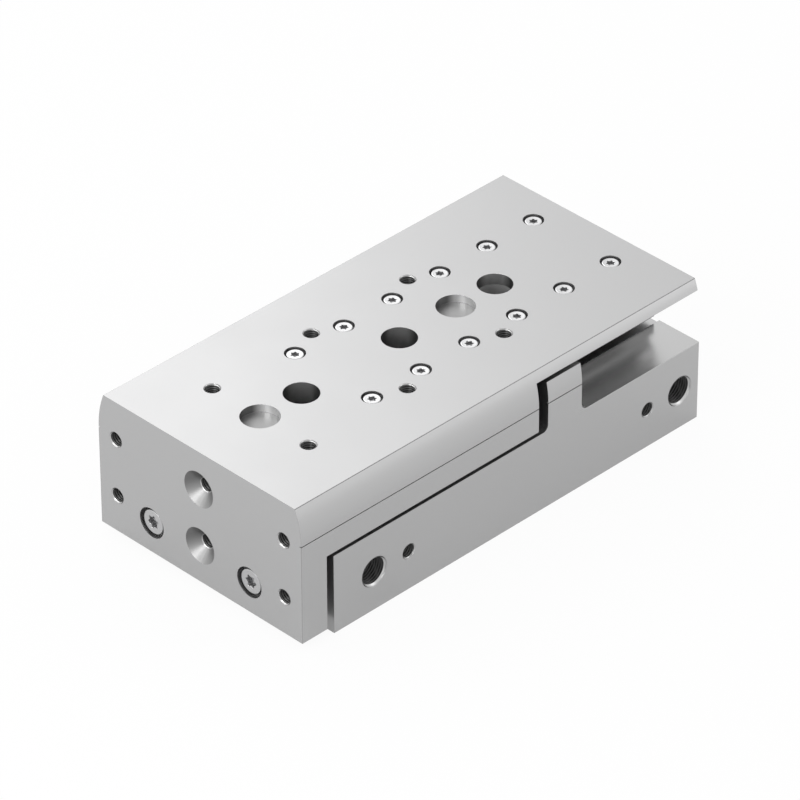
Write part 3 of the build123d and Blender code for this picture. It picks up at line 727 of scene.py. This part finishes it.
# The rail's flanks are painted lighter towards the top, so that their reflection in the shelf shows
# brighter
PAINTED_LIGHT_FLANKS = PaintedPlace(
    Axis.LENGTHWISE, ((0.0, 25.5, 34.7), (0.0, -25.5, 34.7)), radius=6.4, span=(35.0, 163.55),
    shade=0.19, roughness=0.26, dim=0.4, lee=(0.0, 0.0, 1.0), fall=(-0.1, 0.45),
)
TABLE_PAINTED_PLACES = (
    SHADED_CENTRING_FLOORS, SHADED_CENTRING_WALLS, SHADED_ACCESS_WALLS, SHADED_CENTRING_CONES, MATT_LIGHTENED_UNDERSIDE, SHOULDER_PAINTED_SHADE_LINES,
    YOKE_PAINTED_SHADE_LINES,
)
OWN_FINISHES = {
    TABLE: replace(ANODISED, work="milled_with_painted_shade", painted_places=TABLE_PAINTED_PLACES),
    HOUSING: replace(ANODISED, work="block_with_painted_light", painted_places=(GROUND_LIGHTENED_SHELF,)),
    GUIDE_RAIL: replace(HARDENED, work="flanks_painted_light", painted_places=(PAINTED_LIGHT_FLANKS,)),
}


@dataclass(frozen=True)
class Castings:
    """The modelled pieces that keep their own shape and get a finish from the record's slot."""

    record: dict

    def dress(self) -> None:
        """Gives every modelled piece the finish that the record names for it."""
        by_slot = {finish.slot: finish for finish in FINISHES}
        for subpart in self.record["subparts"]:
            node = frame["nodes"][subpart["node"]]
            finish = OWN_FINISHES.get(node.name, by_slot[subpart["material_slot"]])
            node.data.materials.clear()
            node.data.materials.append(finish.material())
            log.info("%s has the slot %s, worked as %s", node.name, finish.slot, finish.work)


# Threads


@dataclass(frozen=True)
class Thread:
    """A cut thread that lines one round hole, with a countersunk mouth. Sizes are in millimetres.

    The lead is how deep the countersink goes while its radius shrinks by one. The seat is the gap
    between the thread's outside and the hole.
    """

    major: float
    minor: float
    pitch: float
    depth: float
    mouth: float
    lead: float = 1.0
    samples: int = 48
    per_turn: int = 8
    seat: float = 0.02

    def countersink(self) -> float:
        """Gives the depth at which the countersink meets the thread's crests.

        Returns:
            The depth in millimetres.
        """
        return (self.mouth / 2 - self.seat - self.minor / 2) * self.lead

    def liner(self) -> Surface:
        """Makes the thread as a tube with a wall, its mouth at the origin and its depth along -Z.

        At a depth d and an angle a, the turn is t = d / pitch - a / (2 pi). The inner radius is
        the minor radius plus the groove's depth times a triangle wave of t, flat for a tenth of
        the turn on either side of the crest's middle. The countersink's radius falls from the
        mouth's by d / lead, and the larger of the two holds. The outer radius is the hole's, less
        a small seat.

        Returns:
            The closed tube.
        """
        rows = int(self.depth / self.pitch * self.per_turn)
        depth = np.concatenate([[0.0], np.linspace(self.seat, self.depth, rows)])[:, None]
        angle = full_turn(self.samples)[None, :]
        turn = (depth / self.pitch - angle / (2 * np.pi)) % 1.0
        wave = np.clip(1.25 - 2.5 * np.abs(turn - 0.5), 0.0, 1.0)
        groove = (self.major - self.minor) / 2 - 3 * self.seat
        inner = self.minor / 2 + groove * (1 - wave)
        widest = self.major / 2 - 2 * self.seat
        cone = (self.mouth / 2 - self.seat) - depth / self.lead
        inner = np.minimum(np.maximum(inner, cone), widest)
        outer = np.full_like(inner[:2], self.major / 2 - self.seat)
        radius = np.concatenate([inner, outer])
        drop = np.concatenate([depth, [[self.depth]], [[0.0]]]) * np.ones_like(radius)
        circle = angle * np.ones_like(radius)
        rings = np.stack([radius * np.cos(circle), radius * np.sin(circle), -drop], axis=-1)
        return Surface(rings * MM, loop=True)


@dataclass(frozen=True)
class ThreadRow:
    """Holes that share one thread and one body."""

    name: str
    body: str
    thread: Thread
    way: Way
    mouths: tuple[tuple[float, float, float], ...]
    sharp_angle: float = 50.0

    def build(self) -> bpy.types.Object:
        """Lines every hole of the row with its thread: the mouth is painted a little lighter as a
        painted highlight, and the thread further in dark as painted shade.

        Returns:
            The piece.
        """
        liner = self.thread.liner()
        surfaces = [liner.placed(at(*mouth), self.way) for mouth in self.mouths]
        piece = dressed(mesh_object(self.name, surfaces, self.sharp_angle), self.body, LIFTED_COUNTERSUNK)
        piece.data.materials.append(PAINTED_DARK_THREAD.material())
        centres = np.empty(3 * len(piece.data.polygons))
        piece.data.polygons.foreach_get("center", centres)
        way = np.array(self.way.value)
        depth = centres.reshape(-1, 3) @ way - at(*self.mouths[0]) @ way
        set_indices(piece, depth > self.thread.countersink() * MM)
        return piece


@dataclass(frozen=True)
class Threads:
    """Every tapped hole of the part. Stations and heights are in millimetres."""

    top_stations: tuple[float, ...] = (24.7, 64.7, 104.7)
    top_y: float = 20.0
    top_z: float = 49.2
    face_y: float = 35.0
    face_levels: tuple[float, ...] = (15.8, 35.8)
    cone_depth: float = 3.0
    side_y: float = 42.25
    bore_z: float = 13.4
    port_stations: tuple[float, ...] = (29.0, 157.5)
    thread_stations: tuple[float, ...] = (43.0, 143.5)
    base_stations: tuple[float, ...] = (41.3, 121.3)
    base_y: float = 36.25
    small: Thread = Thread(major=5.0, minor=4.2, pitch=0.8, depth=7.4, mouth=5.1)
    centre: Thread = Thread(major=5.0, minor=4.2, pitch=0.8, depth=4.9, mouth=4.9)
    side: Thread = Thread(major=5.0, minor=4.2, pitch=0.8, depth=6.9, mouth=5.1)
    port: Thread = Thread(major=9.73, minor=8.57, pitch=0.907, depth=7.9, mouth=10.1, samples=72)
    base: Thread = Thread(major=6.0, minor=5.0, pitch=1.0, depth=6.0, mouth=6.2)

    def rows(self) -> list[ThreadRow]:
        """Gives the rows of tapped holes.

        Returns:
            One row for each kind of hole.
        """
        top = tuple((s, side * self.top_y, self.top_z) for s in self.top_stations for side in SIDES)
        face = tuple((0.0, side * self.face_y, z) for z in self.face_levels for side in SIDES)
        middle = tuple((self.cone_depth, 0.0, z) for z in self.face_levels)
        beside = tuple((s, self.side_y, self.bore_z) for s in self.thread_stations)
        ports = tuple((s, self.side_y, self.bore_z) for s in self.port_stations)
        base = tuple((s, side * self.base_y, 0.0) for s in self.base_stations for side in SIDES)
        return [
            ThreadRow("top_threads", TABLE, self.small, Way.DOWN, top),
            ThreadRow("face_threads", TABLE, self.small, Way.BACK, face),
            ThreadRow("centre_threads", TABLE, self.centre, Way.BACK, middle),
            ThreadRow("side_threads", HOUSING, self.side, Way.ACROSS, beside),
            ThreadRow("port_threads", HOUSING, self.port, Way.ACROSS, ports),
            ThreadRow("base_threads", HOUSING, self.base, Way.UP, base),
        ]

    def build(self) -> None:
        """Builds every row."""
        for row in self.rows():
            row.build()


# Screws


@dataclass(frozen=True)
class CapScrew:
    """A cap screw with a six-lobed socket. Sizes are in millimetres.

    The socket's floor dips to a point, and its wall narrows by the draft. The head's top is a hair
    hollow between the socket's lip and the shore, which is a level ring inside the rim. The neck is
    the fillet under the head, and the tip is the bevel at the shank's end, as its width and length.
    """

    head: float
    head_height: float
    shank: float
    length: float
    lobe: float
    waist: float
    socket_depth: float
    rim: float = 0.3
    lip: float = 0.08
    dip: float = 0.35
    dip_share: float = 0.35
    draft: float = 0.97
    hollow: float = 0.03
    hollow_share: float = 0.8
    shore: float = 0.1
    neck: float = 0.15
    tip: tuple[float, float] = (0.35, 0.4)
    samples: int = 96

    def socket(self) -> np.ndarray:
        """Gives the socket's outline.

        The radius at an angle a is the waist's radius plus the lobes' height times
        ((1 + cos 6a) / 2) to the power 1.3, which keeps the lobes narrower than the waists.

        Returns:
            The radius at each sample of the turn.
        """
        wave = ((1 + np.cos(6 * full_turn(self.samples))) / 2) ** 1.3
        return self.waist / 2 + (self.lobe - self.waist) / 2 * wave

    def profile(self) -> list[tuple[np.ndarray, float]]:
        """Gives the rings of the screw, from the middle of the socket's floor to the shank's end.

        The rings climb the socket's wall and its lip, cross the head's top, go round the rim, down
        the head, in under it and down the shank to its end.

        Returns:
            The radius at each sample and the depth below the head's top, for each ring.
        """
        socket, flat = self.socket(), np.ones(self.samples)
        top = self.head / 2 - self.rim
        end = self.head_height + self.length
        return [
            (socket * self.dip_share, self.socket_depth + self.dip),
            (socket * self.draft, self.socket_depth),
            (socket, self.lip * 1.5),
            (socket + self.lip, self.hollow),
            (flat * (top * self.hollow_share), self.hollow),
            (flat * (top - self.shore), 0.0),
            (flat * top, 0.0),
            (flat * (top + self.rim * 0.7), self.rim * 0.3),
            (flat * (self.head / 2), self.rim),
            (flat * (self.head / 2), self.head_height),
            (flat * (self.shank / 2 + self.neck), self.head_height),
            (flat * (self.shank / 2), self.head_height + self.neck),
            (flat * (self.shank / 2), end - self.tip[1]),
            (flat * (self.shank / 2 - self.tip[0]), end),
        ]

    def inside(self) -> np.ndarray:
        """Tells which faces are inside the socket: its floor, its wall and its middle.

        The rings' faces come first, with two rows of them in the socket, and then the fan that
        closes the first ring and the fan that closes the last.

        Returns:
            For each face of one screw, whether it is inside.
        """
        rows = np.arange(len(self.profile()) + 1)
        return np.repeat((rows < 2) | (rows == len(rows) - 2), self.samples)

    def surface(self, turn: float) -> Surface:
        """Makes the screw, its head's top at the origin and its shank along -Z.

        Args:
            turn: how far the screw is turned about its axis, in radians.

        Returns:
            The closed surface.
        """
        rings = self.profile()
        radius = np.stack([ring for ring, _ in rings])
        drop = np.array([depth for _, depth in rings])[:, None] * np.ones_like(radius)
        circle = (full_turn(self.samples)[None, :] + turn) * np.ones_like(radius)
        grid = np.stack([radius * np.cos(circle), radius * np.sin(circle), -drop], axis=-1)
        return Surface(grid * MM)


@dataclass(frozen=True)
class ScrewRow:
    """Screws of one size that stand for one modelled node.

    The turn step, in radians, is how much further each screw is turned than the last one.
    """

    node: str
    body: str
    screw: CapScrew
    way: Way
    tops: tuple[tuple[float, float, float], ...]
    finish: Finish = ZINC
    turn_step: float = 2.4

    def build(self) -> bpy.types.Object:
        """Builds the row, each screw turned a little differently, as they were tightened.

        Returns:
            The piece.
        """
        turns = (np.arange(len(self.tops)) * self.turn_step) % (np.pi / 3)
        surfaces = [
            self.screw.surface(float(turn)).placed(at(*top), self.way)
            for turn, top in zip(turns, self.tops)
        ]
        name = f"{self.node}_with_sockets"
        piece = dressed(mesh_object(name, surfaces), self.body, self.finish, self.node)
        # Painted shade inside the sockets
        piece.data.materials.append(SHADED_SOCKET.material())
        set_indices(piece, np.tile(self.screw.inside(), len(surfaces)))
        return piece


@dataclass(frozen=True)
class Screws:
    """Every screw of the part. Stations and heights are in millimetres."""

    rail_stations: tuple[float, ...] = (154.2, 134.2, 114.2, 94.2, 74.2, 54.2)
    rail_y: float = 16.0
    rail_z: float = 48.8
    bar_first: float = 27.5
    bar_pitch: float = 56.6 / 3
    bar_count: int = 4
    bar_y: float = 32.7
    bar_z: float = 43.0
    yoke_station: float = 0.5
    yoke_y: float = 20.5
    yoke_z: float = 13.4
    rail: CapScrew = CapScrew(
        head=5.3, head_height=2.6, shank=3.0, length=12.7, lobe=2.75, waist=2.0, socket_depth=1.3
    )
    bar: CapScrew = replace(rail, length=19.5)
    yoke: CapScrew = CapScrew(
        head=8.2, head_height=3.6, shank=5.0, length=15.9, lobe=4.4, waist=3.2, socket_depth=2.0,
        rim=0.45, lip=0.12,
    )

    def rows(self) -> list[ScrewRow]:
        """Gives the rows of screws.

        Returns:
            One row for each modelled node of screws.
        """
        bar_stations = [self.bar_first + self.bar_pitch * k for k in range(self.bar_count)]
        rail = tuple(
            (s, side * self.rail_y, self.rail_z) for s in self.rail_stations for side in SIDES
        )
        bar = tuple((s, side * self.bar_y, self.bar_z) for side in SIDES for s in bar_stations)
        yoke = tuple((self.yoke_station, side * self.yoke_y, self.yoke_z) for side in SIDES)
        return [
            ScrewRow("rail_screws", TABLE, self.rail, Way.DOWN, rail, PAINTED_LIT_ZINC),
            ScrewRow("bar_screws", HOUSING, self.bar, Way.DOWN, bar),
            ScrewRow("yoke_screws", TABLE, self.yoke, Way.BACK, yoke),
        ]

    def build(self) -> None:
        """Builds every row."""
        for row in self.rows():
            row.build()


# Studio


@dataclass(frozen=True)
class Lamp:
    """A square soft lamp that points at the part. Its power is in watts."""

    name: str
    place: tuple[float, float, float]
    size: float
    power: float
    target: tuple[float, float, float] = (0.0, 0.0, 0.03)

    def build(self) -> bpy.types.Object:
        """Builds the lamp.

        Returns:
            The lamp's object.
        """
        data = bpy.data.lights.new(self.name, "AREA")
        data.shape = "SQUARE"
        data.size = self.size
        data.energy = self.power
        lamp = bpy.data.objects.new(self.name, data)
        turn = (Vector(self.target) - Vector(self.place)).to_track_quat("-Z", "Y")
        lamp.matrix_world = Matrix.Translation(self.place) @ turn.to_matrix().to_4x4()
        bpy.context.scene.collection.objects.link(lamp)
        return lamp


@dataclass(frozen=True)
class Studio:
    """The camera, the lamps, the world and the floor.

    The angles are in degrees, the lens and the sensor in millimetres. What surfaces mirror of the
    floor is whiter further out and darker near the part, a painted shadow round the part that only
    reflections show: the white's share goes from the first to the second value of floor_mirrored,
    between the two distances of painted_shadow_reach. Those are measured from the middle of the
    part with X, Y and Z multiplied by floor_squeeze.
    """

    azimuth: float = 44.79
    elevation: float = 34.95
    roll: float = -0.1454
    target: tuple[float, float, float] = (1.28 * MM, 0.0, 26.85 * MM)
    distance: float = 1.8508
    lens: float = 282.2
    sensor: float = 36.0
    clip_end: float = 20.0
    floor_size: float = 8.0
    floor_level: float = -0.02 * MM
    floor_colour: float = 0.8
    floor_white: float = 0.93
    floor_mirrored: tuple[float, float] = (0.43, 1.0)
    painted_shadow_reach: tuple[float, float] = (0.08, 0.14)
    floor_squeeze: tuple[float, float, float] = (0.5, 1.0, 0.0)
    fill: float = 0.84
    lamps: tuple[Lamp, ...] = (
        Lamp("back_near", (-0.2, -0.52, 0.46), size=0.4, power=0.42),
        Lamp("back_far", (-0.62, -0.95, 0.95), size=0.7, power=0.86),
        Lamp("key_front", (0.82, 0.05, 0.57), size=0.5, power=3.0),
        Lamp("key_left", (0.58, -0.57, 0.6), size=0.5, power=1.15),
        Lamp("key_right", (-0.58, 0.57, 0.6), size=0.5, power=0.75),
        Lamp("side_low", (-0.6, 0.8, 0.16), size=0.4, power=0.52),
    )

    def camera(self) -> None:
        """Sets the camera at the photograph's viewing angle."""
        azimuth, elevation = math.radians(self.azimuth), math.radians(self.elevation)
        roll = math.radians(self.roll)
        flat = Vector((math.sin(azimuth), math.cos(azimuth), 0.0))
        back = flat * math.cos(elevation) + Vector((0.0, 0.0, math.sin(elevation)))
        level_right = Vector((-math.cos(azimuth), math.sin(azimuth), 0.0))
        level_up = back.cross(level_right)
        right = math.cos(roll) * level_right + math.sin(roll) * level_up
        up = math.cos(roll) * level_up - math.sin(roll) * level_right
        data = bpy.data.cameras.new("camera")
        data.lens, data.sensor_width, data.clip_end = self.lens, self.sensor, self.clip_end
        camera = bpy.data.objects.new("camera", data)
        turn = Matrix((right, up, back)).transposed().to_4x4()
        camera.matrix_world = Matrix.Translation(Vector(self.target) + back * self.distance) @ turn
        bpy.context.scene.collection.objects.link(camera)
        bpy.context.scene.camera = camera

    @staticmethod
    def seen(
        wiring: Wiring, direct: float, mirrored: float | bpy.types.NodeSocket
    ) -> bpy.types.NodeSocket:
        """Gives how much of the white background a ray sees.

        Args:
            wiring: the shader tree's wiring.
            direct: the share for camera rays.
            mirrored: the share for glossy and transmission rays; other rays see none.

        Returns:
            The share as a socket.
        """
        path = wiring.node("ShaderNodeLightPath").outputs
        reflected = wiring.maths("MAXIMUM", path["Is Glossy Ray"], path["Is Transmission Ray"])
        straight = wiring.maths("MULTIPLY", path["Is Camera Ray"], direct)
        return wiring.maths("ADD", straight, wiring.maths("MULTIPLY", reflected, mirrored))

    @staticmethod
    def lit(
        wiring: Wiring, output: str, share: bpy.types.NodeSocket, plain: bpy.types.Node,
        white: bpy.types.Node,
    ) -> None:
        """Ends a shader tree with a mix of a plain and a white shader.

        Args:
            wiring: the shader tree's wiring.
            output: the type of its output node.
            share: the share of the white shader.
            plain: the node of the plain shader.
            white: the node of the white shader.
        """
        mixed = wiring.node("ShaderNodeMixShader")
        for value, socket in zip((share, plain.outputs[0], white.outputs[0]), mixed.inputs):
            wiring.put(value, socket)
        wiring.set(wiring.node(output), Surface=mixed.outputs[0])

    def world(self) -> None:
        """Makes the world white where it is seen, and an even fill for the rest."""
        world = bpy.data.worlds.new("studio")
        world.use_nodes = True
        world.node_tree.nodes.clear()
        wiring = Wiring(world.node_tree)
        fill, white = (wiring.node("ShaderNodeBackground") for _ in range(2))
        wiring.set(fill, Color=(1, 1, 1, 1), Strength=self.fill)
        wiring.set(white, Color=(1, 1, 1, 1), Strength=1.0)
        share = self.seen(wiring, 1.0, 1.0)
        self.lit(wiring, "ShaderNodeOutputWorld", share, fill, white)
        bpy.context.scene.world = world

    def floor(self) -> None:
        """Lays a pale floor that keeps a soft shadow, else as white as the background; in
        reflections it is painted darker near the part.
        """
        half = self.floor_size / 2
        mesh = bpy.data.meshes.new("floor")
        corners = ((-half, -half), (half, -half), (half, half), (-half, half))
        mesh.from_pydata([(x, y, self.floor_level) for x, y in corners], [], [(0, 1, 2, 3)])
        floor = bpy.data.objects.new("floor", mesh)
        bpy.context.scene.collection.objects.link(floor)
        material = bpy.data.materials.new("pale_floor")
        material.use_nodes = True
        material.node_tree.nodes.clear()
        wiring = Wiring(material.node_tree)
        shade = self.floor_colour
        matt = wiring.set(wiring.node("ShaderNodeBsdfDiffuse"), Color=(shade, shade, shade, 1.0))
        white = wiring.set(wiring.node("ShaderNodeEmission"), Color=(1, 1, 1, 1), Strength=1.0)
        place = wiring.node("ShaderNodeTexCoord").outputs["Object"]
        away = wiring.vectors("LENGTH", wiring.vectors("MULTIPLY", place, self.floor_squeeze))
        # Painted shadow round the part, seen only in reflections
        mirrored = wiring.mapped(away, self.painted_shadow_reach, self.floor_mirrored, "SMOOTHSTEP")
        share = self.seen(wiring, self.floor_white, mirrored)
        self.lit(wiring, "ShaderNodeOutputMaterial", share, matt, white)
        mesh.materials.append(material)

    def build(self) -> None:
        """Builds the studio."""
        self.camera()
        self.world()
        self.floor()
        for lamp in self.lamps:
            lamp.build()
        bpy.context.scene.view_settings.view_transform = "Standard"


def main() -> None:
    """Builds the studio and the part's looks."""
    logging.basicConfig(level=logging.INFO, format="%(message)s")
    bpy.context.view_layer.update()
    Studio().build()
    Castings(frame["record"]).dress()
    Threads().build()
    Screws().build()


if __name__ == "__main__":
    main()
